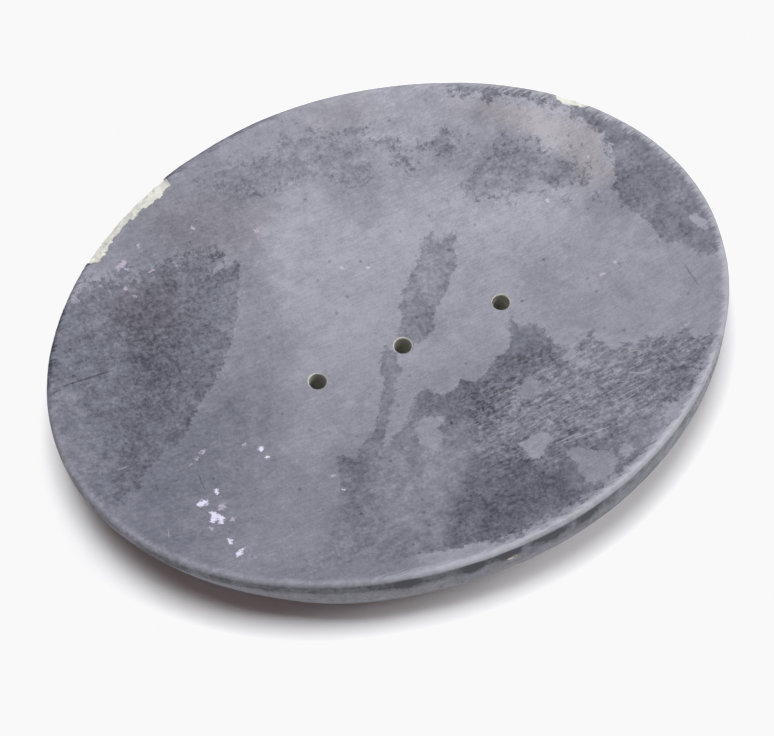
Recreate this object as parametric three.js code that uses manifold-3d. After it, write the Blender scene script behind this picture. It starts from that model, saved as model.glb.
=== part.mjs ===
// Oval soap dish carved from one piece of soapstone: a shallow hollow for the soap, three drain holes
// along its length, a rounded rim, a full belly below, and four rubber feet that lift it to drain.
// Millimetres, +Z up, +X along the dish. The origin is on the table, under the middle of the dish.
import * as THREE from "three";
import { mergeVertices } from "three/addons/utils/BufferGeometryUtils.js";
import Module from "manifold-3d";

// Driving dimensions
const LENGTH = 130;
const WIDTH = 102.3;
const HEIGHT = 17; // table to rim
const FOOT_HEIGHT = 2;
const HOLLOW_DEPTH = 8; // rim to the lowest point of the hollow
const DRAIN_DIAMETER = 3.2;
const DRAINS_X = [-15.8, 1.7, 22.2]; // drilled by eye, so not evenly spaced
const DRAINS_Y = -1.7;

// The rim and the side
const LIP_WIDTH = 1.4; // from the crest of the rim out to the side
const LIP_DROP = 1.3; // from the crest down to the upright part of the side
const BELLY_TOP = 11; // the side is upright above this height and rounds in below it
const BELLY_INSET = 18; // the flat base starts this far in from the side

// How far the carved outline wanders from a true ellipse, as shares of its radius
const THREE_LOBES = { share: 0.0037, turn: -0.742 };
const FOUR_LOBES = { share: 0.0036, turn: 0.219 };

// Feet
const FOOT_DIAMETER = 9;
const FOOT_EDGE = 0.5;
const FOOT_X = 34;
const FOOT_Y = 21;

// Roundness of the facets
const AROUND_DISH = 96;
const CURVE_STEPS = 9;
const AROUND_SMALL = 24;

const HALF_LENGTH = LENGTH / 2;
const HALF_WIDTH = WIDTH / 2;
const FLOOR = HEIGHT - HOLLOW_DEPTH;

const wasm = await Module();
wasm.setup();

function toSolid(geometry) {
  const bare = geometry.clone().deleteAttribute("normal").deleteAttribute("uv");
  const merged = mergeVertices(bare, 1e-4);
  return new wasm.Manifold(
    new wasm.Mesh({
      numProp: 3,
      vertProperties: new Float32Array(merged.attributes.position.array),
      triVerts: new Uint32Array(merged.index.array),
    }),
  );
}

function toGeometry(solid) {
  const mesh = solid.getMesh();
  const geometry = new THREE.BufferGeometry();
  geometry.setAttribute("position", new THREE.BufferAttribute(mesh.vertProperties, 3));
  geometry.setIndex(new THREE.BufferAttribute(mesh.triVerts, 1));
  geometry.computeVertexNormals();
  return geometry;
}

// A turned solid about +Z from an outline that starts and ends on the axis.
function turned(outline, steps, around) {
  return new THREE.LatheGeometry(outline.getPoints(steps), around).rotateX(Math.PI / 2);
}

// Half of the dish's section, as if it were round: base, belly, side, lip and hollow.
function dishSection() {
  const crest = HALF_LENGTH - LIP_WIDTH;
  return new THREE.Path()
    .moveTo(0, FOOT_HEIGHT)
    .lineTo(HALF_LENGTH - BELLY_INSET, FOOT_HEIGHT)
    .bezierCurveTo(
      HALF_LENGTH - 0.4 * BELLY_INSET, FOOT_HEIGHT,
      HALF_LENGTH, FOOT_HEIGHT + 3,
      HALF_LENGTH, BELLY_TOP,
    )
    .lineTo(HALF_LENGTH, HEIGHT - LIP_DROP)
    .quadraticCurveTo(HALF_LENGTH, HEIGHT, crest, HEIGHT)
    .bezierCurveTo(0.62 * crest, FLOOR + 1.2, 0.35 * crest, FLOOR, 0, FLOOR);
}

// Radius of the hand-carved oval at an angle round the dish.
function ovalRadius(angle) {
  const ellipse =
    (HALF_LENGTH * HALF_WIDTH) /
    Math.hypot(HALF_WIDTH * Math.cos(angle), HALF_LENGTH * Math.sin(angle));
  const wander =
    THREE_LOBES.share * Math.cos(3 * (angle - THREE_LOBES.turn)) +
    FOUR_LOBES.share * Math.cos(4 * (angle - FOUR_LOBES.turn));
  return ellipse * (1 + wander);
}

// Draws the round dish in to its oval. The rim keeps its section, and the middle stays in the middle.
function makeOval(geometry) {
  const places = geometry.attributes.position;
  for (let i = 0; i < places.count; i++) {
    const angle = Math.atan2(places.getY(i), places.getX(i));
    const inset = HALF_LENGTH - Math.hypot(places.getX(i), places.getY(i));
    const oval = ovalRadius(angle);
    const squeeze = 1 + (oval / HALF_LENGTH - 1) * (inset / HALF_LENGTH);
    const radius = Math.max(0, oval - inset * squeeze);
    places.setXY(i, radius * Math.cos(angle), radius * Math.sin(angle));
  }
  return geometry;
}

// The middle of the outline's box goes to the origin, because the wander moves it a little.
function centred(geometry) {
  geometry.computeBoundingBox();
  const middle = geometry.boundingBox.getCenter(new THREE.Vector3());
  return geometry.translate(-middle.x, -middle.y, 0);
}

function drain(x) {
  const drill = new THREE.CylinderGeometry(
    DRAIN_DIAMETER / 2, DRAIN_DIAMETER / 2, 2 * HEIGHT, AROUND_SMALL,
  );
  return toSolid(drill.rotateX(Math.PI / 2).translate(x, DRAINS_Y, 0));
}

function makeDish() {
  const carved = centred(makeOval(turned(dishSection(), CURVE_STEPS, AROUND_DISH)));
  const drilled = DRAINS_X.reduce((stone, x) => stone.subtract(drain(x)), toSolid(carved));
  const material = new THREE.MeshStandardMaterial({ color: 0x73757d, roughness: 0.55 });
  const mesh = new THREE.Mesh(toGeometry(drilled), material);
  mesh.name = "stone_dish";
  return mesh;
}

function makeFoot(name, x, y) {
  const radius = FOOT_DIAMETER / 2;
  const section = new THREE.Path()
    .moveTo(0, 0)
    .lineTo(radius - 2 * FOOT_EDGE, 0)
    .quadraticCurveTo(radius - FOOT_EDGE, 0, radius - FOOT_EDGE / 2, FOOT_EDGE)
    .lineTo(radius, FOOT_HEIGHT)
    .lineTo(0, FOOT_HEIGHT);
  const material = new THREE.MeshStandardMaterial({ color: 0x1d1d1f, roughness: 0.75 });
  const mesh = new THREE.Mesh(turned(section, 3, AROUND_SMALL), material);
  mesh.name = name;
  mesh.position.set(x, y, 0);
  return mesh;
}

const dish = new THREE.Group();
dish.add(makeDish());
for (const [end, x] of [["left", -FOOT_X], ["right", FOOT_X]])
  for (const [side, y] of [["front", -FOOT_Y], ["back", FOOT_Y]])
    dish.add(makeFoot(`foot_${side}_${end}`, x, y));

export default dish;
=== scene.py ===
"""Oval soap dish carved from one piece of soapstone, dyed dark grey, on four stick-on rubber feet.

The stone is a spun section drawn in to a hand-carved oval, drilled three times and chipped at the rim.
Lengths are millimetres while a piece is being shaped, and metres once it is in the scene.
"""

import math

import bmesh
import bpy
import numpy as np
from mathutils import Matrix, Vector, kdtree, noise
from mathutils.geometry import interpolate_bezier


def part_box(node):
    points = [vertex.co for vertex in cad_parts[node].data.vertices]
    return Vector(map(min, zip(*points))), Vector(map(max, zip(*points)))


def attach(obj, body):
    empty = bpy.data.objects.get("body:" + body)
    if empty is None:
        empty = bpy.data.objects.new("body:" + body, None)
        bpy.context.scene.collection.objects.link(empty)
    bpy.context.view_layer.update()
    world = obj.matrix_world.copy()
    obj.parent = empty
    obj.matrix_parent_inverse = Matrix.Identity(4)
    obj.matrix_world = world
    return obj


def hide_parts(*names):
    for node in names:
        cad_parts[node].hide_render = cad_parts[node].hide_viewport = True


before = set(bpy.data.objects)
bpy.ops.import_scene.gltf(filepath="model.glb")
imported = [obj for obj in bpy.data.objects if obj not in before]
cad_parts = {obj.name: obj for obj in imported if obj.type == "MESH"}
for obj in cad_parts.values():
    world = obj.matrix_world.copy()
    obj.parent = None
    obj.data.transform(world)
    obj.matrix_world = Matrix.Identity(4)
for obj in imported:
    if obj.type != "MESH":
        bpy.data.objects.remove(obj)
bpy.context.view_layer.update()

MM = 0.001
noise.seed_set(3)  # so that the chips and the painted edges come out the same each run

# The dish, from the frame
DISH_LOW, DISH_HIGH = (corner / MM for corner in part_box("stone_dish"))
HALF_LENGTH = 65
HALF_WIDTH = 51.15
BASE = DISH_LOW.z
HEIGHT = DISH_HIGH.z

# Its section. The lip is tighter than the plain design's
HOLLOW_DEPTH = 8
FLOOR = HEIGHT - HOLLOW_DEPTH
LIP_WIDTH = 1.0
LIP_DROP = 1.0
BELLY_TOP = 11
BELLY_INSET = 18
CREST = HALF_LENGTH - LIP_WIDTH

# The drain holes
DRAIN_RADIUS = 1.6
DRAINS_X = (-15.8, 1.7, 22.2)
DRAINS_Y = -1.7
MOUTH_WEAR = 0.24  # how far the worn edge of a hole reaches out over the stone

# How far the carved outline wanders from a true ellipse: lobes, share of the radius, turn
LOBES = ((3, 0.0037, -0.742), (4, 0.0036, 0.219))

# Where the side is drawn in below the rim: the middle of that stretch and how far it reaches each way, in
# degrees round the dish, how far in it goes, how far below the rim it starts and the height it comes in over
DRAWN_IN_MIDDLE = -166
DRAWN_IN_REACH = 48
DRAWN_IN_DEPTH = 2.4
DRAWN_IN_START = 1.8
DRAWN_IN_HEIGHT = 8

# The long flake that is broken off the rim: its first and last angle in degrees, its drop down the side,
# and how far it reaches in over the lip at shares of the way along
FLAKE_START, FLAKE_END = 117.4, 141.2
FLAKE_DROP = 1.0
FLAKE_WIDTHS = (
    (0, 0.8), (0.03, 2.6), (0.14, 3.1), (0.3, 2.6), (0.5, 2.0),
    (0.72, 1.8), (0.86, 2.5), (0.96, 2.2), (1, 0.8),
)

# Edges of the stone that turn more than this are sharp
SHARP_EDGE = math.radians(32)

# How fine the stone's mesh is
AROUND = 440
HOLLOW_RINGS = 112
LIP_RINGS = 12
UPRIGHT_RINGS = 6
BELLY_RINGS = 22
BASE_RINGS = 16


# Small tools


def node(tree, kind, sockets=None, **settings):
    """Adds a node with its settings. Each socket takes a value, or the socket that feeds it."""
    made = tree.nodes.new("ShaderNode" + kind)
    for name, value in settings.items():
        setattr(made, name, value)
    for name, value in (sockets or {}).items():
        if isinstance(value, bpy.types.NodeSocket):
            tree.links.new(value, made.inputs[name])
        else:
            made.inputs[name].default_value = value
    return made


def linear(colour):
    """The linear RGBA of an sRGB colour written as hex."""
    shares = [int(colour[i : i + 2], 16) / 255 for i in (1, 3, 5)]
    return [s / 12.92 if s <= 0.04045 else ((s + 0.055) / 1.055) ** 2.4 for s in shares] + [1]


def piece(name, bm, materials):
    """Closes a bmesh drawn in millimetres into an object in metres, with its faces pointing out."""
    bmesh.ops.remove_doubles(bm, verts=bm.verts, dist=1e-4)
    bmesh.ops.recalc_face_normals(bm, faces=bm.faces)
    bmesh.ops.scale(bm, vec=(MM, MM, MM), verts=bm.verts)
    mesh = bpy.data.meshes.new(name)
    bm.to_mesh(mesh)
    bm.free()
    made = bpy.data.objects.new(name, mesh)
    bpy.context.scene.collection.objects.link(made)
    for material in materials:
        mesh.materials.append(material)
    mesh.shade_smooth()
    return made


def curve(start, start_handle, end_handle, end, steps):
    """Points (r, z) along a cubic curve, without the last one."""
    ends = [Vector((x, 0, z)) for x, z in (start, start_handle, end_handle, end)]
    return [(p.x, p.z) for p in interpolate_bezier(*ends, steps + 1)[:-1]]


def line(start, end, steps):
    """Points (r, z) along a straight line, without the last one."""
    return [tuple(Vector(start).lerp(Vector(end), i / steps)) for i in range(steps)]


# The carved shape


def dish_section():
    """Half of the dish's section as if it were round: base, belly, side, lip and hollow."""
    base_end = (HALF_LENGTH - BELLY_INSET, BASE)
    side = (HALF_LENGTH, BELLY_TOP)
    arris = (HALF_LENGTH, HEIGHT - LIP_DROP)
    crest = (CREST, HEIGHT)
    corner = Vector((HALF_LENGTH, HEIGHT))
    return (
        line((0, BASE), base_end, BASE_RINGS)
        + curve(
            base_end,
            (HALF_LENGTH - 0.4 * BELLY_INSET, BASE),
            (HALF_LENGTH, BASE + 3),
            side,
            BELLY_RINGS,
        )
        + line(side, arris, UPRIGHT_RINGS)
        + curve(
            arris,
            Vector(arris).lerp(corner, 2 / 3),
            Vector(crest).lerp(corner, 2 / 3),
            crest,
            LIP_RINGS,
        )
        + curve(crest, (0.62 * CREST, FLOOR + 1.2), (0.35 * CREST, FLOOR), (0, FLOOR), HOLLOW_RINGS)
        + [(0, FLOOR)]
    )


def oval_radius(angle):
    """Radius of the hand-carved oval at an angle round the dish."""
    ellipse = HALF_LENGTH * HALF_WIDTH / math.hypot(
        HALF_WIDTH * math.cos(angle), HALF_LENGTH * math.sin(angle)
    )
    wander = sum(share * math.cos(lobes * (angle - turn)) for lobes, share, turn in LOBES)
    return ellipse * (1 + wander)


def oval_place(place):
    """Where a point of the round dish goes on the oval one, before the dish is centred."""
    angle = math.atan2(place.y, place.x)
    inset = HALF_LENGTH - math.hypot(place.x, place.y)
    oval = oval_radius(angle)
    squeeze = 1 + (oval / HALF_LENGTH - 1) * (inset / HALF_LENGTH)
    radius = max(0, oval - inset * squeeze)
    return Vector((radius * math.cos(angle), radius * math.sin(angle), place.z))


def oval_middle():
    """The middle of the oval's box, which the design moves to the origin."""
    turns = [math.radians(step / 4) for step in range(1440)]
    rim = [oval_place(Vector((HALF_LENGTH * math.cos(a), HALF_LENGTH * math.sin(a), 0))) for a in turns]
    xs, ys = [p.x for p in rim], [p.y for p in rim]
    return Vector(((min(xs) + max(xs)) / 2, (min(ys) + max(ys)) / 2, 0))


MIDDLE = oval_middle()


def make_oval(bm):
    """Draws a round shape in to the oval."""
    for v in bm.verts:
        v.co = oval_place(v.co) - MIDDLE


def carve_by_hand(bm):
    """Moves the stone in and out by tenths of a millimetre, as rasp and sandpaper leave it."""
    bm.normal_update()
    for v in bm.verts:
        above_base = min(1, max(0, (v.co.z - BASE) / 2))
        broad = noise.noise(v.co / 19)
        close = noise.noise(v.co / 6 + Vector((7, 3, 1)))
        v.co += v.normal * above_base * (0.16 * broad + 0.05 * close)


def draw_in_belly(bm):
    """Draws the side in below the rim at the left front, where more stone was rasped away."""
    for v in bm.verts:
        angle = math.atan2(v.co.y, v.co.x)
        outside = v.co.z < FLOOR - 1 or oval_radius(angle) - v.co.xy.length < 5
        from_middle = math.remainder(math.degrees(angle) - DRAWN_IN_MIDDLE, 360) / DRAWN_IN_REACH
        down = min(1, max(0, (HEIGHT - DRAWN_IN_START - v.co.z) / DRAWN_IN_HEIGHT))
        if outside and abs(from_middle) < 1:
            share = (1 - from_middle**2) ** 2 * down * down * (3 - 2 * down)
            v.co.xy *= 1 - DRAWN_IN_DEPTH * share / max(3, v.co.xy.length)


def spun(section, around, turn=math.tau, whole=True):
    """A bmesh of a section (r, z) spun about the dish's upright axis."""
    bm = bmesh.new()
    verts = [bm.verts.new((r, 0, z)) for r, z in section]
    edges = [bm.edges.new(pair) for pair in zip(verts, verts[1:])]
    bmesh.ops.spin(
        bm,
        geom=verts + edges,
        cent=(0, 0, 0),
        axis=(0, 0, 1),
        dvec=(0, 0, 0),
        angle=turn,
        steps=around,
        use_merge=whole,
        use_duplicate=False,
    )
    return bm


# What is taken away from the stone. Cutters carry the material that their cut leaves.

DYED, RAW, DRILLED = range(3)


def drill(bm, stone, x):
    """A drill through the hollow, with the flare that wear gives the mouth of the hole."""
    above = Vector((x, DRAINS_Y, 2 * HEIGHT)) * MM
    mouth = stone.ray_cast(above, (0, 0, -1))[1].z / MM
    section = [
        (0, -1),
        (DRAIN_RADIUS, -1),
        (DRAIN_RADIUS, BASE + 0.2),
        (DRAIN_RADIUS, mouth - 0.42),
        (DRAIN_RADIUS + 0.06, mouth - 0.26),
        (DRAIN_RADIUS + MOUTH_WEAR, mouth + 0.03),
        (DRAIN_RADIUS + 2 * MOUTH_WEAR, mouth + 0.5),
        (0, mouth + 0.5),
    ]
    tool = spun(section, 64)
    for face in tool.faces:
        face.material_index = RAW if face.calc_center_median().z > mouth - 0.26 else DRILLED
    for v in tool.verts:
        v.co += Vector((x, DRAINS_Y, 0))
    add_to(bm, tool)


def add_to(bm, other):
    """Moves another bmesh's faces into this one."""
    bmesh.ops.remove_doubles(other, verts=other.verts, dist=1e-4)
    bmesh.ops.recalc_face_normals(other, faces=other.faces)
    mesh = bpy.data.meshes.new("cutter")
    other.to_mesh(mesh)
    other.free()
    bm.from_mesh(mesh)
    bpy.data.meshes.remove(mesh)


def broken_height(place):
    """How far broken stone stands above or below a smooth cut at a place: stepped flakes and crumbs."""
    flat = Vector((place.x, place.y, 0))
    flakes = noise.cell(flat / 0.8) - 0.5
    bends = noise.noise(flat / 2.5)
    crumbs = noise.noise(flat / 0.5)
    return 0.2 * flakes + 0.26 * bends + 0.12 * crumbs


def break_rim(bm, start, end, widths, drop):
    """Takes a flake off the rim between two angles, in degrees. widths says how far the break reaches in
    over the lip, as (share of the way along, width) pairs, and drop how far it reaches down the side."""
    reach_in = 5
    across = 26
    face = [(HALF_LENGTH - reach_in + 6.5 * i / across, HEIGHT - 1.5) for i in range(across + 1)]
    section = face + [(HALF_LENGTH + 1.5, HEIGHT + 3), (HALF_LENGTH - reach_in, HEIGHT + 3), face[0]]
    tool = spun(section, 110, math.radians(end - start), False)
    bmesh.ops.remove_doubles(tool, verts=tool.verts, dist=1e-4)
    bmesh.ops.holes_fill(tool, edges=[e for e in tool.edges if e.is_boundary], sides=0)
    first = Matrix.Rotation(math.radians(start), 3, "Z")
    bmesh.ops.rotate(tool, cent=(0, 0, 0), matrix=first, verts=tool.verts)
    for v in tool.verts:
        along = (math.degrees(math.atan2(v.co.y, v.co.x)) - start) / (end - start)
        width = float(np.interp(along, *zip(*widths)))
        inset = HALF_LENGTH - v.co.xy.length
        on_break = v.co.z < HEIGHT
        v.co = oval_place(v.co) - MIDDLE
        if on_break:
            rise = (inset - width) * drop / width + broken_height(v.co)
            v.co.z = HEIGHT + min(2.5, rise)
    for face in tool.faces:
        face.material_index = RAW
    add_to(bm, tool)


def chip(bm, centre, reach, turn):
    """Takes one small chip out of the stone: an uneven lump of a given reach each way."""
    tool = bmesh.new()
    bmesh.ops.create_icosphere(tool, subdivisions=3, radius=1)
    shape = Matrix.LocRotScale(Vector(centre), Matrix.Rotation(math.radians(turn), 3, "Z"), Vector(reach))
    bmesh.ops.transform(tool, matrix=shape, verts=tool.verts)
    for v in tool.verts:
        v.co += 0.3 * noise.noise_vector(v.co / 0.9)
    for face in tool.faces:
        face.material_index = RAW
    add_to(bm, tool)


def rim_point(angle, inset, height):
    """A point near the rim, at an angle in degrees round the dish."""
    turn = math.radians(angle)
    r = HALF_LENGTH - inset
    return oval_place(Vector((r * math.cos(turn), r * math.sin(turn), height))) - MIDDLE


def cutters(stone):
    """Everything that is drilled or broken out of the stone. Cuts that meet are separate objects."""
    drills, breaks, second = bmesh.new(), bmesh.new(), bmesh.new()
    for x in DRAINS_X:
        drill(drills, stone, x)
    break_rim(breaks, FLAKE_START, FLAKE_END, FLAKE_WIDTHS, FLAKE_DROP)
    # Two small chips at the back right, and a nick on the front side
    chip(breaks, rim_point(29.5, 0.4, HEIGHT + 0.35), (2.5, 1.5, 1.1), 118)
    chip(second, rim_point(26.8, 0.2, HEIGHT + 0.2), (1.5, 1.1, 0.8), 116)
    chip(breaks, rim_point(-92, 0, HEIGHT - 3.8), (0.95, 0.6, 0.6), 0)
    return [piece("cutter", bm, []) for bm in (drills, breaks, second)]


def cut(stone, tools):
    """Takes the cutters away from the stone and keeps the result as the stone's mesh."""
    for tool in tools:
        difference = stone.modifiers.new("cut", "BOOLEAN")
        difference.object = tool
        difference.operation = "DIFFERENCE"
        difference.solver = "EXACT"
        difference.material_mode = "INDEX"
    shown = stone.evaluated_get(bpy.context.evaluated_depsgraph_get())
    whole = stone.data
    stone.data = bpy.data.meshes.new_from_object(shown)
    stone.data.name = stone.name
    stone.modifiers.clear()
    bpy.data.meshes.remove(whole)
    for tool in tools:
        bpy.data.objects.remove(tool)
    stone.data.set_sharp_from_angle(angle=SHARP_EDGE)


# How the stone's surface varies, drawn over the dish seen from above: outlines in millimetres

# Soft changes of tone, from 0, the palest polished stone, to 1, the darkest. Each is a tone, how softly it
# ends, and its outline. Later ones lie over earlier ones.
TONES = (
    (0.16, 12, ((-30, 4), (30, 8), (66, 8), (66, -52), (-30, -52))),
    (0.25, 10, ((-26, -2), (0, -6), (24, -6), (26, -30), (-24, -30))),
    (0.21, 8, ((27, 3), (57, 3), (62, -28), (52, -30), (32, -18))),
    (0.43, 8, (
        (-70, 2), (-44, -3), (-36, 3), (-26, 8), (-24, -2), (-27, -12), (-24, -24), (-16, -52), (-70, -52),
    )),
    (0.34, 6, ((-14, 30), (-15, 20), (-16, 10), (-18, 2), (-26, -3), (-37, 1), (-29, 12), (-22, 24))),
    (0.34, 7, ((-48, 34), (-30, 30), (-16, 31), (-8, 36), (-6, 52), (-34, 52))),
    (0.29, 5, ((-10, 36), (14, 36), (16, 52), (-12, 52))),
    (0.3, 4, ((2, 38), (15, 38), (14, 30), (11, 24), (5, 23), (3, 30))),
    (0.33, 5, ((22, 30), (38, 29), (46, 22), (47, 14), (38, 17), (28, 20))),
    (0.17, 4, ((15, 48), (16, 40), (32, 38), (36, 46))),
    (0.1, 2, ((42, 27), (45, 29), (49, 27), (50, 23), (47, 21), (43, 22))),
    (0.13, 3, ((47, 20), (52, 23), (54, 18), (53, 12), (49, 12))),
    (0.28, 4, ((45, 9), (53, 10), (52, 1), (46, 0))),
)

# Coarser, darker stone with a ragged edge, where the polish has gone: a tone, how crisp the edge is, and an
# outline
DARK_PATCHES = (
    (0.58, 1.7, (
        (-18, 27), (-19.5, 24), (-21.5, 20), (-24, 15.5), (-28, 10.5), (-33, 6), (-36, 3.5), (-40, 0),
        (-44, -3.5), (-49, -5.5), (-53, -8), (-56, -11), (-60, -13), (-64, -8), (-60, 3), (-47, 11),
        (-36, 19), (-26, 26),
    )),
    (0.55, 0.3, (
        (-21, 30), (-27, 20), (-33, 13), (-42, 5), (-50, 0), (-60, -5), (-70, -5), (-70, 15), (-58, 27),
        (-47, 32), (-34, 32),
    )),
    (0.38, 1.3, (
        (14.5, 16.5), (12, 13), (9, 10), (6.5, 8), (9, 5), (14.5, 5), (17, 8), (19, 10.5), (20, 13),
        (20.5, 15.5), (18, 15), (17.5, 17.5),
    )),
    (0.45, 1.5, (
        (9, 10), (6.5, 8), (5, 5.5), (3.5, 3), (1.5, 0.5), (3, -3), (5, -2.5), (8, -1.5), (9.5, 1), (11, 3),
        (14.5, 5), (12, 8),
    )),
    (0.48, 1.5, (
        (-1.5, -0.5), (-3.5, -3.5), (-4.5, -6), (-6, -9), (-9, -13), (-11, -16), (-15, -18), (-17, -20),
        (-19, -18), (-20.5, -19.5), (-21, -23), (-19, -24.5), (-13, -21.5), (-10, -18), (-8, -15),
        (-5, -11.5), (-3, -8.5), (-1, -6), (-0.3, -2.5),
    )),
    (0.48, 1.6, (
        (-21, -22.5), (-25, -27.5), (-26, -31), (-29, -34), (-33, -36), (-36.5, -38), (-35, -40),
        (-28, -40.5), (-22, -43), (-14, -45.5), (-6, -47.5), (2, -52), (12, -52), (21, -51), (31, -48),
        (38, -45), (46, -41), (52, -35), (54, -31), (48, -27), (49, -25), (45, -25), (41, -22.5), (38, -22),
        (36, -20), (33, -18), (34, -15.5), (30, -17), (26, -15), (26.5, -12), (25, -8.5), (23, -8.5),
        (22, -5), (21, -8), (19, -11), (16, -12), (13, -14), (10, -15), (8, -13.5), (5, -15), (3, -14.5),
        (1, -12), (-1, -12.5), (-3, -14), (-5, -17), (-9, -19), (-13, -21.5), (-19, -24),
    )),
    (0.56, 0.45, (
        (34, 45), (34, 41), (38, 38), (43, 35), (48, 31), (52, 27), (54, 22), (55, 17), (54, 12), (56, 6),
        (66, 4), (65, 14), (58, 28), (50, 36),
    )),
    (0.48, 1.4, (
        (57, 16), (54.5, 13), (52, 9), (51, 5), (52.5, 2.5), (53.5, 1), (54, -2), (54, -4.5), (55, -7),
        (57, -9), (58, -11.5), (60, -14), (63, -12), (67, 0), (65, 14),
    )),
    (0.4, 0.35, (
        (-17, 43), (-12, 45), (-8, 44.5), (-5, 43), (0, 45), (4, 45), (7, 43), (12, 42.5), (15, 41),
        (14, 38), (12, 36), (11.5, 33), (9, 31.5), (6.5, 33), (5, 37), (3, 38.5), (-1, 38), (-6, 38),
        (-10, 39), (-15, 41),
    )),
    (0.36, 0.5, ((16, 39), (18, 38), (19, 35.5), (20.5, 34), (20, 30), (19, 32), (18, 35), (16, 36.5))),
    (0.36, 0.4, ((24, 34), (27, 34.5), (29, 35), (30, 33), (28.5, 31), (27, 30), (25.5, 32))),
    (0.4, 0.2, ((28, 22), (34, 26), (40, 25), (45, 20), (47, 14), (40, 18), (33, 19))),
)

# The tone of the skin where nothing else is painted, and of the underside
SKIN_TONE = 0.16
UNDERSIDE_TONE = 0.3

# Tones inside the ragged patches, in the same form as TONES
PATCH_TONES = (
    (0.7, 6, (
        (-46, 25), (-33, 29), (-24, 25), (-28, 15), (-36, 8), (-44, 4), (-50, -3), (-56, -6), (-52, 4),
        (-46, 12),
    )),
    (0.78, 5, ((-44, 26), (-36, 27), (-34, 17), (-38, 9), (-44, 10))),
    (0.46, 6, ((-68, 16), (-58, 14), (-56, 4), (-60, -8), (-70, -8))),
    (0.38, 4, (
        (-18, -26), (-9, -20), (-2, -25), (-5, -36), (-12, -38), (-20, -40), (-24, -44), (-16, -36),
    )),
    (0.62, 3, ((-2, -13), (22, -8), (26, -12), (26, -16), (18, -18), (12, -22), (0, -22))),
    (0.72, 5, (
        (-10, -42), (-4, -34), (1, -30), (10, -32), (12, -36), (14, -42), (14, -47), (-4, -49), (-12, -47),
    )),
    (0.42, 4, ((12, -20), (36, -18), (40, -26), (34, -31), (14, -31))),
    (0.5, 4, ((26, -28), (44, -24), (50, -29), (42, -38), (30, -43), (24, -37))),
    (0.6, 3, ((40, 37), (50, 33), (56, 25), (54, 22), (48, 29))),
    (0.55, 3, ((54, 12), (62, 10), (61, -12), (55, -5), (53, 2))),
)

# Lighter and darker clouds over all of it: where, how far they reach, and how much darker they are
CLOUDS = (
    (-20, 30, 7, 0.2), (20, 30, 7, 0.13), (31, 31, 7, 0.12), (41, 29, 5, 0.08), (-30, 39, 7, 0.13),
    (-19, 40, 7, 0.1), (-9, 39, 6, 0.14), (12, 40, 6, 0.08), (24, 41, 7, 0.12), (-50, 21, 7, 0.08),
    (-52, 10, 8, 0.1), (-40, 10, 6, 0.08), (51, 9, 6, 0.13), (-20, 10, 6, 0.06), (-31, 0, 7, 0.2),
    (-41, -1, 6, 0.16), (-51, -10, 6, 0.17), (-41, -10, 6, 0.08), (21, -10, 4, -0.13), (31, -10, 6, 0.06),
    (-51, -20, 6, 0.08), (-30, -21, 7, -0.08), (-20, -20, 4, 0.12), (10, -20, 6, 0.18), (1, -20, 4, -0.06),
    (31, -19, 6, -0.03), (-40, -30, 8, -0.14), (-29, -30, 6, -0.12), (0, -30, 6, -0.1),
    (-10, -40, 6, -0.12), (20, -40, 5, 0.14), (31, -38, 6, -0.16), (40, 20, 5, 0.08), (-58, 3, 7, 0.05),
    (10, 32, 5, 0.1), (39, 26, 4, 0.14), (44.5, 17, 3, 0.12), (37, 35, 4, 0.1), (46.5, 24.5, 4, -0.1),
    (12, 36, 4, -0.1), (27, 38, 4, -0.08), (52, 6, 4, 0.1), (-9, 1, 5, 0.04), (-19, -22, 3.5, 0.12),
    (-24, -30, 3, 0.1), (-35, 33, 5, 0.06), (20, -14, 5, 0.08), (40, -30, 5, 0.04), (10, 0, 4, 0.12),
    (30, -2, 7, 0.1), (0, -41, 4, 0.12), (50, 20, 4, 0.08), (30, 41, 4, 0.06), (-50, 0, 5, -0.14),
    (20, 10, 5, 0.08),
)

# Where the stone is scuffed: pale specks and long scratches over the coarse stone
SCUFFS = (
    (1, 8, ((6, -18), (28, -14), (52, -24), (54, -31), (42, -39), (12, -38), (2, -30))),
)

# Islands of polished stone that are left inside the ragged patches
ISLANDS = (
    (
        (-4, -18), (-2, -17.5), (1, -19), (0, -20.5), (-1, -21), (-0.5, -24), (-3.5, -24.5), (-5.5, -22.5),
        (-4.5, -20),
    ),
    ((15, -21), (17, -19.5), (19.5, -18.5), (20, -21), (19, -23), (16.5, -23.5)),
    ((10.5, -31), (15, -31), (16.5, -33), (14, -35), (11, -36)),
    ((16, -37.5), (19, -37), (21, -40), (24, -41), (23, -45), (18, -46.5), (16, -44), (17, -41)),
    ((24, -41.5), (26.5, -41), (27, -43.5), (25, -44.5)),
    ((35, -40), (38, -37.5), (39.5, -38.5), (37.5, -41)),
    ((34, -19.5), (36.5, -20), (37, -22.5), (34.5, -21.5)),
    ((26, -17.5), (29, -17), (30, -19), (27, -20)),
    ((60.5, -4.5), (62, -3.5), (62.5, -8.5), (61, -9), (60.5, -6)),
)

# Where the stone is a little brown instead of blue: how much, how softly it ends, and its outline
BROWN_TINTS = (
    (0.7, 9, ((-46, 26), (-40, 30), (-32, 28), (-34, 18), (-42, 17))),
    (0.6, 9, ((-32, 40), (-18, 42), (-8, 34), (-14, 29), (-28, 33))),
    (0.9, 6, ((32, 40), (45, 32), (54, 22), (53, 12), (47, 12), (46, 24), (36, 34))),
    (0.4, 6, ((4, 48), (18, 47), (20, 43), (8, 44))),
)
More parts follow.
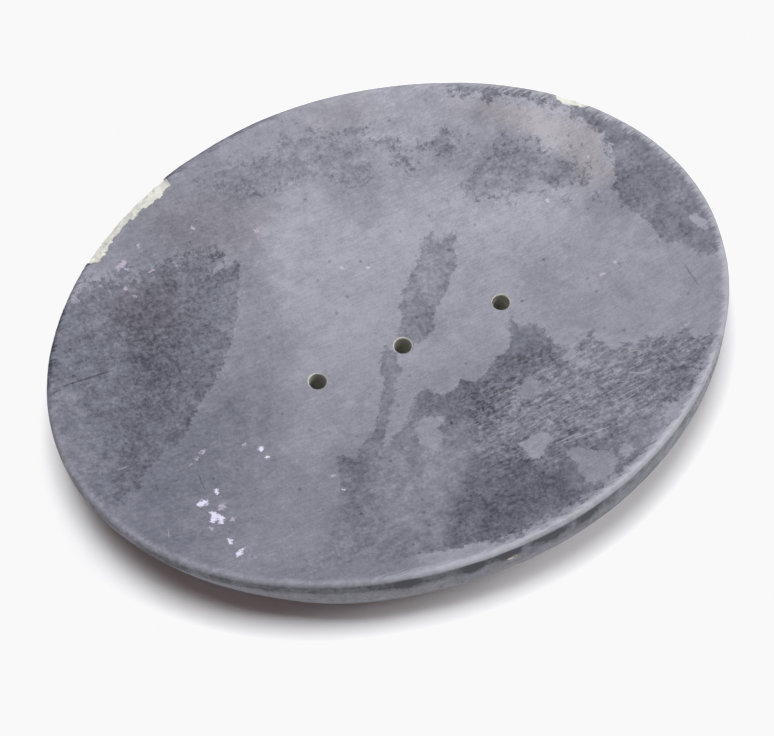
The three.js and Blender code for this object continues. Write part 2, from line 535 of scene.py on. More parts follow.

# How pale the rim is at angles round the dish, in degrees: 1 where sanding has bared it, and below 0 where
# the dye is thick.
# The paleness is sanding wear with a painted highlight over it, most at the front right and in a thin line
# along the back right.
RIM_WEAR_AND_HIGHLIGHT = (
    (-180, 0.35), (-165, 0.3), (-150, 0.3), (-128, 0.4), (-118, 0.6), (-90, 0.9), (-76, 1), (-42, 1),
    (-33, 0.8), (-18, 0.8), (-8, 0.9), (6, 1.1), (20, 1.2), (45, 1.15), (50, 0.9), (62, 0.9), (88, 0.5),
    (95, -0.8), (117, -0.8), (121, 0), (138, 0), (142, -0.9), (163, -0.7), (170, 0.2), (180, 0.35),
)

# The tone of the side at angles round the dish: dark dyed stone at the front, made paler towards the right
# front by painted light where the front-right lamp falls
SIDE_TONES_AND_LIGHT = (
    (-180, 0.5), (-150, 0.62), (-105, 0.74), (-85, 0.86), (-72, 0.76), (-55, 0.42), (-30, 0.3), (10, 0.3),
    (60, 0.5), (180, 0.5),
)

# What is painted on the stone's points for its material
PAINTED = ("tone", "patch_tone", "patch_depth", "brown", "from_crest", "side", "rim_wear_and_highlight", "scuffed")

# Small marks: where, half their length and width, and how they are turned, in degrees
FLECKS = (
    (-45.9, -17.5, 1.5, 0.85, 10), (-42.6, -16, 0.9, 0.65, 35), (-45.2, -20.7, 1.3, 0.8, 80),
    (-44.4, -21.6, 1.4, 0.8, -50), (-45.7, -21.8, 1.1, 0.6, 20), (-44.6, -22.6, 0.8, 0.5, 0),
    (-45, -27.3, 1.0, 0.45, 85), (-44.6, -30.3, 1.1, 0.65, 30), (-43.7, -29.6, 0.8, 0.35, 20),
    (-31.4, -10.7, 0.75, 0.55, 20), (-31.2, -12.8, 0.65, 0.5, 0), (-22, -25.4, 0.5, 0.45, 0),
)
FAINT_FLECKS = (
    (-33.8, -8.6, 0.5, 0.4, 0), (-22.3, -21.7, 0.8, 0.35, 0), (-41.3, -7.1, 1.1, 0.35, 25),
    (-42.9, -8.1, 0.7, 0.35, 20), (-44.4, -9, 0.7, 0.35, 0), (-1.2, 18, 0.9, 0.4, 100),
    (3.2, 16, 0.5, 0.4, 0), (39.8, 13, 0.5, 0.45, 0), (41.3, -6, 1.0, 0.4, 0), (44.6, -5, 0.7, 0.35, 0),
    (50.5, 17, 0.5, 0.4, 0), (-38.9, 33.7, 1.7, 0.7, 30), (-39.6, 33.3, 1.1, 0.7, 0),
    (-38.4, 32.6, 0.6, 0.5, 0), (-34.5, 30.7, 1.2, 0.45, 35), (-34.7, 35.8, 1.3, 0.22, 50),
    (-40.4, 29, 0.5, 0.45, 0), (-23.7, 36, 0.7, 0.4, -10), (-12.7, 31.2, 0.5, 0.4, 0),
    (-39.3, 27, 0.4, 0.4, 0), (-43.2, -19.6, 1.4, 0.9, 30), (-46.8, -23.2, 0.6, 0.5, 0),
    (-42.6, -22.9, 0.7, 0.6, 0),
)
SCRATCHES = (
    (-55.8, -5.3, 1.7, 0.16, 4), (-54.2, -21.5, 1.4, 0.14, 70), (18.5, -34.7, 2.6, 0.16, -3),
    (20.3, -35.5, 3.0, 0.16, -4), (24.5, -36.2, 2.6, 0.16, -8), (33, -31.5, 4.4, 0.14, 3),
    (31, -32.6, 3.4, 0.12, 5), (35.8, -28.4, 2.2, 0.16, -35), (15, -29.3, 2.6, 0.14, 8),
    (13, -26.2, 2.2, 0.14, 10), (30, -35.4, 2.8, 0.12, 4), (38, -24, 1.4, 0.14, -20),
)
DARK_LINES = (
    (-55, 14.1, 8.5, 0.32, 2), (-61, 13.2, 2.4, 0.22, 16), (54.7, -15, 4.2, 0.22, 88),
    (-44.2, -13, 3.4, 0.14, 84),
)

# Nearly black stains on the side, under the rim
SIDE_STAINS = (
    (6.2, -51, 4.2, 1.6, 3), (-2.2, -51.4, 2.6, 1.6, 0), (-20.5, -47.6, 3.2, 1.6, -22),
    (14, -50, 3, 1.4, 8), (-9, -50.6, 2.2, 1.4, -8),
)


def depth_inside(outline, x, y):
    """How far inside an outline each point is, in millimetres, and below 0 outside it."""
    inside = np.zeros(len(x), bool)
    nearest = np.full(len(x), 1e9)
    for (ax, ay), (bx, by) in zip(outline, outline[1:] + outline[:1]):
        dx, dy = bx - ax, by - ay
        along = np.clip(((x - ax) * dx + (y - ay) * dy) / (dx * dx + dy * dy), 0, 1)
        nearest = np.minimum(nearest, np.hypot(x - ax - along * dx, y - ay - along * dy))
        crosses = (ay > y) != (by > y)
        inside ^= crosses & (x < ax + (y - ay) * dx / (dy or 1))
    return np.where(inside, nearest, -nearest)


def painted(layers, x, y, start):
    """A value at each point, painted on in layers of (value, softness, outline) over a start value."""
    result = np.full(len(x), float(start))
    for value, softness, outline in layers:
        share = np.clip(depth_inside(outline, x, y) / softness + 0.5, 0, 1)
        share = share * share * (3 - 2 * share)
        result += (value - result) * share
    return result


def wobbled(x, y):
    """Moves places by a millimetre or two, so that what is painted on them has a natural, uneven edge."""
    moves = [
        1.6 * noise.noise_vector(Vector((a, b, 0)) / 8) + 0.7 * noise.noise_vector(Vector((a, b, 9)) / 2.6)
        for a, b in zip(x, y)
    ]
    return x + np.array([m.x for m in moves]), y + np.array([m.y for m in moves])


def along_section(places):
    """How far each point is along the section from the crest of the rim: out and down are above 0."""
    section = dish_section()
    steps = [0.0]
    for (r0, z0), (r1, z1) in zip(section, section[1:]):
        steps.append(steps[-1] + math.hypot(r1 - r0, z1 - z0))
    crest = len(section) - 1 - HOLLOW_RINGS
    tree = kdtree.KDTree(len(section))
    for i, (r, z) in enumerate(section):
        tree.insert((r, 0, z), i)
    tree.balance()
    result = np.zeros(len(places))
    for i, (x, y, z) in enumerate(places):
        angle = math.atan2(y + MIDDLE.y, x + MIDDLE.x)
        oval = oval_radius(angle)
        inset = inset_of(math.hypot(x + MIDDLE.x, y + MIDDLE.y), oval)
        place = (HALF_LENGTH - inset, 0, z)
        result[i] = steps[crest] - steps[tree.find(place)[1]]
    return result


def inset_of(radius, oval):
    """Undoes the oval's squeeze: how far in from the side a point was on the round dish."""
    bend = (oval / HALF_LENGTH - 1) / HALF_LENGTH
    gap = oval - radius
    if abs(bend) < 1e-9:
        return gap
    return (-1 + math.sqrt(max(0, 1 + 4 * bend * gap))) / (2 * bend)


def smooth(values, start, end):
    """A smooth step from 0 at start to 1 at end."""
    share = np.clip((values - start) / (end - start), 0, 1)
    return share * share * (3 - 2 * share)


def paint(stone):
    """Stores on the stone's points what its material varies by."""
    mesh = stone.data
    places = np.zeros(len(mesh.vertices) * 3, np.float32)
    mesh.vertices.foreach_get("co", places)
    places = places.reshape(-1, 3).astype(float) / MM
    x, y = places[:, 0], places[:, 1]
    from_crest = along_section(places)
    # The underside's tones come in unevenly, some way below the rim
    drift = np.array([3 * noise.noise(Vector(place) / 11) for place in places])
    below = smooth(from_crest + drift, 5, 13)
    side = smooth(from_crest, 1.1, 1.7) * (1 - below)
    around = np.degrees(np.arctan2(y, x))
    depths = [crisp * depth_inside(outline, x, y) for tone, crisp, outline in DARK_PATCHES]
    patches = np.max(depths, axis=0)
    islands = np.max([depth_inside(outline, x, y) for outline in ISLANDS], axis=0)
    patches = np.clip(np.minimum(patches, -1.5 * islands), -8, 8)
    sanded_front = np.interp(around, (-125, -105, -32, -20), (0, 1, 1, 0))
    worn_edge = 0.5 * (-from_crest - 1.2) + 6 * (1 - sanded_front)
    patches = np.where(from_crest < 0.5, np.minimum(patches, worn_edge), patches)
    underneath = np.array([9 * noise.noise(Vector(place) / 24) - 1.5 for place in places])
    patch_layers = tuple((tone, 3, outline) for tone, crisp, outline in DARK_PATCHES) + PATCH_TONES
    side_tone_and_light = np.interp(around, *zip(*SIDE_TONES_AND_LIGHT))
    # Paler low on the side where it turns under: partly smoother stone, partly painted light bounced up from
    # the floor
    side_tone_and_light += 0.7 * (0.26 - side_tone_and_light) * smooth(from_crest, 3.1, 4.3)
    u, v = wobbled(x, y)
    shift = sum(
        change * np.exp(-((u - a) ** 2 + (v - b) ** 2) / reach**2) for a, b, reach, change in CLOUDS
    )
    tone = painted(TONES, u, v, SKIN_TONE) + shift
    tone += (UNDERSIDE_TONE - tone) * below
    values = {
        "tone": tone + (side_tone_and_light - tone) * side,
        "patch_tone": painted(patch_layers, u, v, 0.5) + shift,
        "patch_depth": patches + (underneath - patches) * below,
        "brown": painted(BROWN_TINTS, u, v, 0) * (1 - below) + 0.7 * below,
        "scuffed": painted(SCUFFS, u, v, 0) * (1 - below),
        "from_crest": from_crest,
        "side": side,
        "rim_wear_and_highlight": np.interp(around, *zip(*RIM_WEAR_AND_HIGHLIGHT)),
    }
    for name, value in values.items():
        mesh.attributes.new(name, "FLOAT", "POINT").data.foreach_set("value", value.astype(np.float32))


# Materials


def blank_material(name):
    """A new material, its empty tree, and the surface's place in millimetres."""
    material = bpy.data.materials.new(name)
    material.use_nodes = True
    tree = material.node_tree
    tree.nodes.clear()
    place = node(tree, "TexCoord").outputs["Object"]
    mm = node(tree, "Mapping", {"Vector": place, "Scale": (1 / MM, 1 / MM, 1 / MM)}).outputs["Vector"]
    return material, tree, mm


def marks(tree, mm, places):
    """How far inside any of the small marks the surface is: above 0 in them, and 1 at their middles."""
    deepest = 0.0
    for x, y, length, width, turn in places:
        mark = node(
            tree, "Mapping",
            {
                "Vector": mm,
                "Location": (x, y, 0),
                "Rotation": (0, 0, math.radians(turn)),
                "Scale": (length, width, 1e4),
            },
            vector_type="TEXTURE",
        )
        depth = node(tree, "TexGradient", {"Vector": mark.outputs["Vector"]}, gradient_type="SPHERICAL")
        deepest = node(tree, "Math", {0: depth.outputs["Fac"], 1: deepest}, operation="MAXIMUM").outputs[0]
    return deepest


def dyed_soapstone():
    """Soapstone, rasped, sanded, dyed and waxed. Pale, nearly smooth skin lies over darker, coarser stone
    that shows in ragged patches, peppered with dark grains. The sanded rim is pale: wear, with a painted
    highlight over it."""
    material, tree, mm = blank_material("dyed soapstone, sanded and waxed")
    tone, patch_tone, patch_depth, brown, from_crest, side, rim_wear_and_highlight, scuffed = (
        node(tree, "Attribute", attribute_name=name).outputs["Fac"] for name in PAINTED
    )

    # Noises: the size of what each draws in millimetres, its detail and its roughness
    clouds, tatters, grains, grit, dabs, mottles, clumps, specks = (
        node(
            tree, "TexNoise", {"Vector": mm, "Scale": 1 / size, "Detail": detail, "Roughness": roughness}
        ).outputs["Fac"]
        for size, detail, roughness in (
            (9, 3, 0.55), (2.4, 6, 0.7), (0.75, 2, 0.65), (0.3, 1, 0.5),
            (5, 4, 0.65), (2.6, 5, 0.62), (1.5, 4, 0.75), (0.7, 3, 0.7),
        )
    )
    # Sanding strokes lie across the dish, 3 mm long and 0.4 mm wide
    across = node(
        tree, "Mapping",
        {"Vector": mm, "Rotation": (0, 0, math.radians(-63)), "Scale": (1 / 3, 1 / 0.4, 1 / 3)},
    ).outputs["Vector"]
    strokes = node(
        tree, "TexNoise", {"Vector": across, "Scale": 1, "Detail": 2, "Roughness": 0.6}
    ).outputs["Fac"]

    # The ragged edge of the patches
    wander = node(tree, "Math", {0: tatters, 1: 5.5, 2: patch_depth}, operation="MULTIPLY_ADD").outputs[0]
    crumble = node(tree, "Math", {0: grains, 1: 1.8, 2: wander}, operation="MULTIPLY_ADD").outputs[0]
    patches = node(
        tree, "MapRange",
        {"Value": crumble, "From Min": 3.2, "From Max": 4.1},
        interpolation_type="SMOOTHSTEP",
    ).outputs["Result"]

    # The rim: its pale band, sanding wear with a painted highlight, ends inside in short strokes, a little
    # further in where it's palest. Its share is above 0 where sanding has bared the stone and the highlight
    # is painted, and below 0 where the dye is thick
    rim_reach = node(tree, "Math", {0: rim_wear_and_highlight, 1: 0.7}, operation="MINIMUM").outputs[0]
    wider = node(tree, "Math", {0: rim_reach, 1: 0.5, 2: from_crest}, operation="MULTIPLY_ADD").outputs[0]
    rim_place = node(tree, "Math", {0: strokes, 1: 4.5, 2: wider}, operation="MULTIPLY_ADD").outputs[0]
    rim_inside = node(
        tree, "MapRange",
        {"Value": rim_place, "From Min": 1.7, "From Max": 3.0},
        interpolation_type="SMOOTHSTEP",
    ).outputs["Result"]
    rim_outside = node(
        tree, "MapRange",
        {"Value": from_crest, "From Min": 1.0, "From Max": 1.6, "To Min": 1, "To Max": 0},
        interpolation_type="SMOOTHSTEP",
    ).outputs["Result"]
    rim = node(tree, "Math", {0: rim_inside, 1: rim_outside}, operation="MULTIPLY").outputs[0]
    rim_share = node(tree, "Math", {0: rim, 1: rim_wear_and_highlight}, operation="MULTIPLY").outputs[0]
    rim_dye = node(tree, "Math", {0: rim_share, 1: 0}, operation="MINIMUM").outputs[0]

    # Dark blotches on the side, under the rim
    blotches = node(
        tree, "MapRange",
        {"Value": dabs, "From Min": 0.45, "From Max": 0.6, "To Max": 0.26},
        interpolation_type="SMOOTHSTEP",
    ).outputs["Result"]
    near_rim = node(
        tree, "MapRange", {"Value": from_crest, "From Min": 3, "From Max": 5.5, "To Min": 1, "To Max": 0},
        interpolation_type="SMOOTHSTEP",
    ).outputs["Result"]
    spots = node(tree, "Math", {0: blotches, 1: near_rim}, operation="MULTIPLY").outputs[0]

    # Tone: soft shades outside the patches, coarse ones in them, clouds, mottles and grains over both
    skin = node(tree, "Mix", {0: patches, 2: tone, 3: patch_tone}).outputs[0]
    shade = node(tree, "Math", {0: spots, 1: side, 2: skin}, operation="MULTIPLY_ADD").outputs[0]
    cloudy = node(tree, "Math", {0: clouds, 1: 0.3, 2: shade}, operation="MULTIPLY_ADD").outputs[0]
    mottle_middle = node(tree, "Math", {0: mottles, 1: 0.5}, operation="SUBTRACT").outputs[0]
    mottle_depth = node(
        tree, "MapRange", {"Value": patches, "To Min": 0.45, "To Max": 0.85}
    ).outputs["Result"]
    mottled = node(
        tree, "Math", {0: mottle_middle, 1: mottle_depth, 2: cloudy}, operation="MULTIPLY_ADD"
    ).outputs[0]
    # Flakes 2.5 mm long and 0.7 mm wide lie along the dish where it is scuffed
    flaked = node(
        tree, "Mapping", {"Vector": mm, "Rotation": (0, 0, math.radians(-5)), "Scale": (1 / 2.5, 1 / 0.7, 1)}
    ).outputs["Vector"]
    flakes = node(
        tree, "TexNoise", {"Vector": flaked, "Scale": 1, "Detail": 3, "Roughness": 0.7}
    ).outputs["Fac"]
    flake_middle = node(tree, "Math", {0: flakes, 1: 0.5}, operation="SUBTRACT").outputs[0]
    flake_place = node(tree, "Math", {0: scuffed, 1: patches}, operation="MULTIPLY").outputs[0]
    flake_depth = node(tree, "Math", {0: flake_place, 1: 1.4}, operation="MULTIPLY").outputs[0]
    flaky = node(
        tree, "Math", {0: flake_middle, 1: flake_depth, 2: mottled}, operation="MULTIPLY_ADD"
    ).outputs[0]
    clump_middle = node(tree, "Math", {0: clumps, 1: 0.5}, operation="SUBTRACT").outputs[0]
    clump_depth = node(
        tree, "Math", {0: flake_place, 1: 2.0, 2: patches}, operation="MULTIPLY_ADD"
    ).outputs[0]
    clump_share = node(tree, "Math", {0: clump_depth, 1: 0.45}, operation="MULTIPLY").outputs[0]
    clumpy = node(
        tree, "Math", {0: clump_middle, 1: clump_share, 2: flaky}, operation="MULTIPLY_ADD"
    ).outputs[0]
    grain_depth = node(tree, "MapRange", {"Value": shade, "To Min": 0.1, "To Max": 0.9}).outputs["Result"]
    grain_middle = node(tree, "Math", {0: grains, 1: 0.5}, operation="SUBTRACT").outputs[0]
    grainy = node(
        tree, "Math", {0: grain_middle, 1: grain_depth, 2: clumpy}, operation="MULTIPLY_ADD"
    ).outputs[0]
    gritty = node(tree, "Math", {0: grit, 1: 0.3, 2: grainy}, operation="MULTIPLY_ADD").outputs[0]
    brushed = node(tree, "Math", {0: strokes, 1: 0.3, 2: gritty}, operation="MULTIPLY_ADD").outputs[0]

    # Pits: a dark dot in some of the cells of a 2.6 mm pattern
    cells = node(tree, "TexVoronoi", {"Vector": mm, "Scale": 1 / 2.6, "Randomness": 1})
    chosen = node(tree, "Math", {0: cells.outputs["Color"], 1: 0.66}, operation="GREATER_THAN").outputs[0]
    dot = node(
        tree, "MapRange",
        {"Value": cells.outputs["Distance"], "From Min": 0.05, "From Max": 0.17, "To Min": 0.32, "To Max": 0},
    ).outputs["Result"]
    pitted = node(tree, "Math", {0: chosen, 1: dot, 2: brushed}, operation="MULTIPLY_ADD").outputs[0]

    # The thin dark lines, and the stains under the rim, both shaken a little out of true
    bent = node(tree, "Math", {0: tatters, 1: 0.5}, operation="SUBTRACT").outputs[0]
    shaken = node(tree, "VectorMath", {0: (0.7, 0.7, 0), "Scale": bent}, operation="SCALE").outputs["Vector"]
    loose = node(tree, "VectorMath", {0: mm, 1: shaken}, operation="ADD").outputs["Vector"]
    lines = node(
        tree, "MapRange",
        {"Value": marks(tree, loose, DARK_LINES), "From Min": 0.1, "From Max": 0.7, "To Max": 0.34},
    ).outputs["Result"]
    stains = node(
        tree, "Math", {0: marks(tree, loose, SIDE_STAINS), 1: side}, operation="MULTIPLY"
    ).outputs[0]
    stains_high = node(tree, "Math", {0: stains, 1: near_rim}, operation="MULTIPLY").outputs[0]
    stains_torn = node(tree, "Math", {0: stains_high, 1: clumps}, operation="MULTIPLY").outputs[0]
    stained = node(tree, "Math", {0: stains_torn, 1: 2.4, 2: pitted}, operation="MULTIPLY_ADD").outputs[0]
    lined = node(tree, "Math", {0: stained, 1: lines}, operation="ADD").outputs[0]
    rim_grain = node(tree, "Math", {0: clump_middle, 1: rim}, operation="MULTIPLY").outputs[0]
    rim_rough = node(tree, "Math", {0: rim_grain, 1: 1.3, 2: lined}, operation="MULTIPLY_ADD").outputs[0]
    dyed = node(tree, "Math", {0: rim_dye, 1: -0.4, 2: rim_rough}, operation="MULTIPLY_ADD").outputs[0]
    level = node(tree, "Math", {0: dyed, 1: 0.48}, operation="SUBTRACT").outputs[0]
    stone = node(tree, "ValToRGB", {"Fac": level})
    ramp = stone.color_ramp
    ramp.elements[0].color = linear("#8a8a93")
    ramp.elements[1].color = linear("#2c2d36")
    for at, colour in ((0.25, "#75757e"), (0.5, "#60616b"), (0.75, "#4a4b55")):
        ramp.elements.new(at).color = linear(colour)

    # Brown tints, which only warm the grey
    tinted = node(
        tree, "Mix",
        {0: brown, 6: stone.outputs["Color"], 7: linear("#fbeee6")},
        data_type="RGBA", blend_type="MULTIPLY",
    ).outputs[2]

    # The sanded rim, paler: wear, with a painted highlight along the lip
    patchy = node(tree, "Math", {0: grains, 1: 1.5, 2: 0.1}, operation="MULTIPLY_ADD").outputs[0]
    rim_most = node(tree, "Math", {0: patchy, 1: 0.6}, operation="MULTIPLY").outputs[0]
    rim_pale_share = node(
        tree, "Math", {0: rim_share, 1: rim_most}, operation="MULTIPLY", use_clamp=True
    ).outputs[0]
    pale_rim_colour = node(tree, "Mix", {0: rim_pale_share, 6: tinted, 7: linear("#adaeb1")}, data_type="RGBA").outputs[2]

    # Pale specks and fine scratches, 6 mm long and 0.45 mm wide, where the stone is scuffed
    along = node(
        tree, "Mapping", {"Vector": mm, "Rotation": (0, 0, math.radians(-5)), "Scale": (1 / 6, 1 / 0.45, 1)}
    ).outputs["Vector"]
    hairs = node(
        tree, "TexNoise", {"Vector": along, "Scale": 1, "Detail": 2, "Roughness": 0.5}
    ).outputs["Fac"]
    rubbed = node(tree, "Math", {0: hairs, 1: 1.1, 2: specks}, operation="MULTIPLY_ADD").outputs[0]
    showing = node(
        tree, "MapRange", {"Value": rubbed, "From Min": 1.18, "From Max": 1.4, "To Max": 0.6}
    ).outputs["Result"]
    scuff_share = node(tree, "Math", {0: showing, 1: scuffed}, operation="MULTIPLY").outputs[0]
    scuffed_stone = node(
        tree, "Mix", {0: scuff_share, 6: pale_rim_colour, 7: linear("#a3a49f")}, data_type="RGBA"
    ).outputs[2]

    # White flecks where the stone is bruised, and pale scratches
    scratched = node(
        tree, "MapRange",
        {"Value": marks(tree, loose, SCRATCHES), "From Min": 0.05, "From Max": 0.7, "To Max": 0.5},
    ).outputs["Result"]
    scratched_stone = node(
        tree, "Mix", {0: scratched, 6: scuffed_stone, 7: linear("#a3a49f")}, data_type="RGBA"
    ).outputs[2]
    scatter = node(tree, "TexNoise", {"Vector": mm, "Scale": 1 / 0.55, "Detail": 2, "Roughness": 0.7})
    scattered = node(
        tree, "VectorMath", {0: scatter.outputs["Color"], 1: (0.5, 0.5, 0.5)}, operation="SUBTRACT"
    ).outputs["Vector"]
    torn = node(
        tree, "VectorMath", {0: scattered, 1: (1.9, 1.9, 0), 2: mm}, operation="MULTIPLY_ADD"
    ).outputs["Vector"]
    faint = node(
        tree, "MapRange",
        {"Value": marks(tree, torn, FAINT_FLECKS), "From Min": 0.15, "From Max": 0.6, "To Max": 0.42},
    ).outputs["Result"]
    faintly_bruised = node(
        tree, "Mix", {0: faint, 6: scratched_stone, 7: linear("#cbb9cb")}, data_type="RGBA"
    ).outputs[2]
    bruised = node(
        tree, "MapRange",
        {"Value": marks(tree, torn, FLECKS), "From Min": 0.12, "From Max": 0.5, "To Max": 0.9},
    ).outputs["Result"]
    bruised_stone = node(
        tree, "Mix", {0: bruised, 6: faintly_bruised, 7: linear("#cdc8da")}, data_type="RGBA"
    ).outputs[2]

    # Bump: grains, strokes and the step at the edge of the skin
    step = node(tree, "Math", {0: patches, 1: -0.5, 2: grains}, operation="MULTIPLY_ADD").outputs[0]
    height = node(tree, "Math", {0: strokes, 1: 0.4, 2: step}, operation="MULTIPLY_ADD").outputs[0]
    bump = node(tree, "Bump", {"Height": height, "Strength": 0.5, "Distance": 0.06 * MM}).outputs["Normal"]
    dullness = node(tree, "MapRange", {"Value": level, "To Min": 0.45, "To Max": 0.7}).outputs["Result"]
    roughness = node(tree, "Math", {0: rim, 1: 0.25, 2: dullness}, operation="MULTIPLY_ADD").outputs[0]
    surface = node(
        tree, "BsdfPrincipled",
        {"Base Color": bruised_stone, "Roughness": roughness, "Normal": bump, "IOR": 1.5},
    )
    node(tree, "OutputMaterial", {"Surface": surface.outputs["BSDF"]})
    return material


def raw_soapstone():
    """Soapstone freshly broken, as under the dye: cream with a little green, dull and granular."""
    material, tree, mm = blank_material("raw soapstone, broken")
    patches = node(tree, "TexNoise", {"Vector": mm, "Scale": 1 / 1.8, "Detail": 4, "Roughness": 0.6})
    crumbs = node(tree, "TexNoise", {"Vector": mm, "Scale": 1 / 0.4, "Detail": 2, "Roughness": 0.6})
    colour = node(tree, "ValToRGB", {"Fac": patches.outputs["Fac"]})
    ramp = colour.color_ramp
    ramp.elements[0].position = 0.3
    ramp.elements[0].color = linear("#bbbbb0")
    ramp.elements[1].position = 0.7
    ramp.elements[1].color = linear("#d5d4ca")
    bump = node(
        tree, "Bump", {"Height": crumbs.outputs["Fac"], "Strength": 0.8, "Distance": 0.15 * MM}
    ).outputs["Normal"]
    surface = node(
        tree, "BsdfPrincipled",
        {"Base Color": colour.outputs["Color"], "Roughness": 0.85, "Normal": bump},
    )
    node(tree, "OutputMaterial", {"Surface": surface.outputs["BSDF"]})
    return material


def shaded_drilled_soapstone():
    """Soapstone cut by a drill: the raw stone with fine rings, darkened as painted shade down the narrow
    bore.
    """
    material, tree, mm = blank_material("drilled soapstone, painted shade")
    stains = node(tree, "TexNoise", {"Vector": mm, "Scale": 1 / 1.2, "Detail": 4, "Roughness": 0.6})
    # Greys darker than the raw stone: painted shade down the narrow bore
    colour = node(tree, "ValToRGB", {"Fac": stains.outputs["Fac"]})
    ramp = colour.color_ramp
    ramp.elements[0].position = 0.3
    ramp.elements[0].color = linear("#74736a")
    ramp.elements[1].position = 0.7
    ramp.elements[1].color = linear("#9a998d")
    # Rings left by the drill, 0.35 mm apart
    rings = node(tree, "TexWave", {"Vector": mm, "Scale": 0.9, "Distortion": 1.5}, bands_direction="Z")
    bump = node(
        tree, "Bump", {"Height": rings.outputs["Fac"], "Strength": 0.4, "Distance": 0.05 * MM}
    ).outputs["Normal"]
    surface = node(
        tree, "BsdfPrincipled",
        {"Base Color": colour.outputs["Color"], "Roughness": 0.8, "Normal": bump},
    )
    node(tree, "OutputMaterial", {"Surface": surface.outputs["BSDF"]})
    return material


def foot_rubber():
    """Black rubber, moulded matt: a faint fine pebble, greyed by dust."""
    material, tree, mm = blank_material("moulded black rubber")
    dust = node(tree, "TexNoise", {"Vector": mm, "Scale": 1 / 2.5, "Detail": 5, "Roughness": 0.7})
    pebble = node(tree, "TexNoise", {"Vector": mm, "Scale": 1 / 0.25, "Detail": 1})
    colour = node(tree, "ValToRGB", {"Fac": dust.outputs["Fac"]})
    ramp = colour.color_ramp
    ramp.elements[0].position = 0.35
    ramp.elements[0].color = linear("#1b1b1d")
    ramp.elements[1].position = 0.8
    ramp.elements[1].color = linear("#38373a")
    bump = node(
        tree, "Bump", {"Height": pebble.outputs["Fac"], "Strength": 0.5, "Distance": 0.03 * MM}
    ).outputs["Normal"]
    surface = node(
        tree, "BsdfPrincipled",
        {"Base Color": colour.outputs["Color"], "Roughness": 0.65, "Normal": bump},
    )
    node(tree, "OutputMaterial", {"Surface": surface.outputs["BSDF"]})
    return material


# The pieces


def make_dish():
    bm = spun(dish_section(), AROUND)
    bmesh.ops.remove_doubles(bm, verts=bm.verts, dist=1e-4)
    bmesh.ops.recalc_face_normals(bm, faces=bm.faces)
    make_oval(bm)
    draw_in_belly(bm)
    carve_by_hand(bm)
    stone = piece("carved_stone_dish", bm, [dyed_soapstone(), raw_soapstone(), shaded_drilled_soapstone()])
    cut(stone, cutters(stone))
    paint(stone)
    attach(stone, "root")
    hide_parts("stone_dish")


def make_foot(cad_node, rubber):
    """A domed stick-on foot, wider at the top, on the thin film that glues it to the stone."""
    low, high = (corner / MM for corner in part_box(cad_node))
    radius = (high.x - low.x) / 2
    film = 0.15
    waist = (radius - 0.3, low.z + 0.9)
    shoulder = (radius - 0.2, high.z - film)
    film_radius = radius - 0.35
    section = (
        [(0, low.z)]
        + curve((radius - 1.6, low.z), (radius - 0.8, low.z), (radius - 0.5, low.z + 0.3), waist, 8)
        + curve(waist, (radius - 0.2, low.z + 1.3), (radius - 0.15, high.z - film - 0.1), shoulder, 5)
        + [shoulder, (film_radius, high.z - film), (film_radius, high.z), (0, high.z)]
    )
    bm = spun(section, 72)
    middle = (low + high) / 2
    for v in bm.verts:
        v.co += Vector((middle.x, middle.y, 0))
    foot = piece(cad_node.replace("foot", "rubber_foot"), bm, [rubber])
    foot.data.set_sharp_from_angle(angle=math.radians(40))
    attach(foot, "root")
    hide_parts(cad_node)


# Floor, light and camera

# The view, in degrees, metres and, for the lens, millimetres. It aims a little left of and below the middle.
VIEW_AZIMUTH = -26.6
VIEW_ELEVATION = 59.1
VIEW_DISTANCE = 0.5
VIEW_HEIGHT = 0.010
VIEW_LEFT = 0.00065
VIEW_DOWN = 0.00537
VIEW_LENS = 125.6


def make_floor():
    bm = bmesh.new()
    bmesh.ops.create_circle(bm, cap_ends=True, segments=96, radius=500)
    paper = bpy.data.materials.new("matt white card")
    paper.use_nodes = True
    surface = paper.node_tree.nodes["Principled BSDF"]
    surface.inputs["Base Color"].default_value = linear("#f3f2f1")
    surface.inputs["Roughness"].default_value = 0.95
    surface.inputs["Specular IOR Level"].default_value = 0.1
    piece("floor", bm, [paper])


def make_backdrop():
    """A pale wall far round the dish. Only the camera sees it, so it throws no light."""
    bm = bmesh.new()
    bmesh.ops.create_uvsphere(bm, u_segments=48, v_segments=24, radius=3500)
    wall = bpy.data.materials.new("pale wall")
    wall.use_nodes = True
    tree = wall.node_tree
    tree.nodes.clear()
    glow = node(tree, "Emission", {"Color": linear("#f9f9f9"), "Strength": 1.1})
    node(tree, "OutputMaterial", {"Surface": glow.outputs["Emission"]})
    backdrop = piece("backdrop", bm, [wall])
    backdrop.visible_diffuse = False
    backdrop.visible_glossy = False
    backdrop.visible_shadow = False


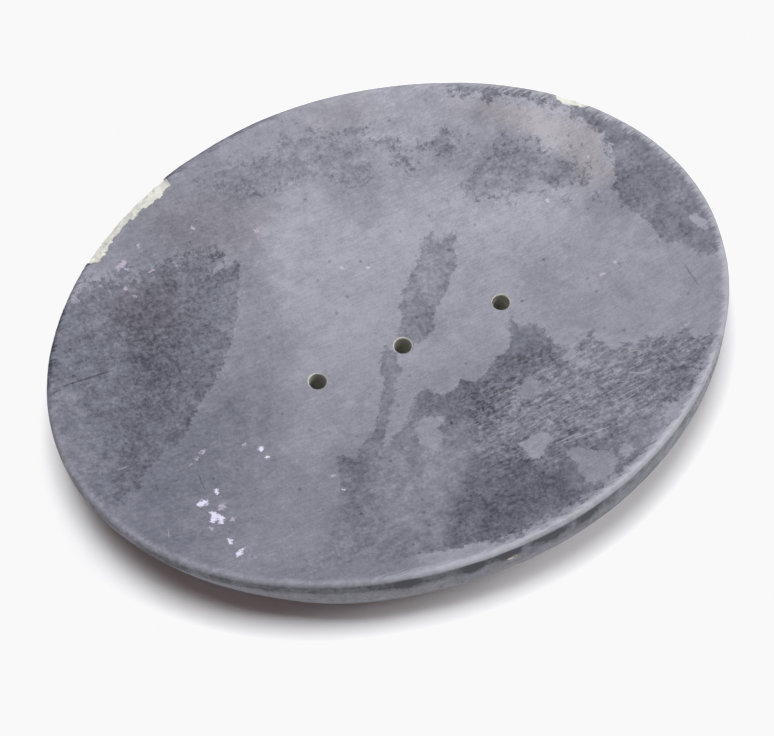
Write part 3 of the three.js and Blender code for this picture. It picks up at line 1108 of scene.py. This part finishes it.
def make_light(name, azimuth, elevation, distance, size, power, colour):
    """A square soft light that faces the dish."""
    lamp = bpy.data.lights.new(name, "AREA")
    lamp.shape = "SQUARE"
    lamp.size = size
    lamp.energy = power
    lamp.color = linear(colour)[:3]
    made = bpy.data.objects.new(name, lamp)
    bpy.context.scene.collection.objects.link(made)
    back = direction(azimuth, elevation)
    made.location = back * distance
    made.rotation_mode = "QUATERNION"
    made.rotation_quaternion = back.to_track_quat("Z", "Y")


def direction(azimuth, elevation):
    """From the dish towards a place round it. Azimuth 0 is in front of its long side, 90 at its right."""
    a, e = math.radians(azimuth), math.radians(elevation)
    return Vector((math.sin(a) * math.cos(e), -math.cos(a) * math.cos(e), math.sin(e)))


def make_camera():
    camera = bpy.data.cameras.new("camera")
    camera.sensor_width = 36
    camera.lens = VIEW_LENS
    made = bpy.data.objects.new("camera", camera)
    bpy.context.scene.collection.objects.link(made)
    back = direction(VIEW_AZIMUTH, VIEW_ELEVATION)
    right = Vector((0, 0, 1)).cross(back).normalized()
    up = back.cross(right)
    middle = Vector((0, 0, VIEW_HEIGHT))
    made.location = middle + back * VIEW_DISTANCE
    aim = middle - right * VIEW_LEFT - up * VIEW_DOWN
    made.rotation_mode = "QUATERNION"
    made.rotation_quaternion = (made.location - aim).to_track_quat("Z", "Y")
    bpy.context.scene.camera = made


def make_room():
    world = bpy.data.worlds.new("room")
    world.use_nodes = True
    sky = world.node_tree.nodes["Background"]
    sky.inputs["Color"].default_value = linear("#ffddd8")
    sky.inputs["Strength"].default_value = 0.14
    bpy.context.scene.world = world
    view = bpy.context.scene.view_settings
    view.view_transform = "Standard"
    view.use_curve_mapping = True
    view.curve_mapping.extend = "HORIZONTAL"
    view.curve_mapping.curves[3].points[1].location = (1, 0.947)
    view.curve_mapping.update()


make_camera()
make_room()
make_floor()
make_backdrop()
DAYLIGHT = "#f6faff"
make_light("softbox", azimuth=-120, elevation=85, distance=1.0, size=0.44, power=11.3, colour=DAYLIGHT)
make_light("window", azimuth=65, elevation=38, distance=1.2, size=0.6, power=8.8, colour=DAYLIGHT)
make_dish()
rubber = foot_rubber()
for end in ("left", "right"):
    for side in ("front", "back"):
        make_foot(f"foot_{side}_{end}", rubber)
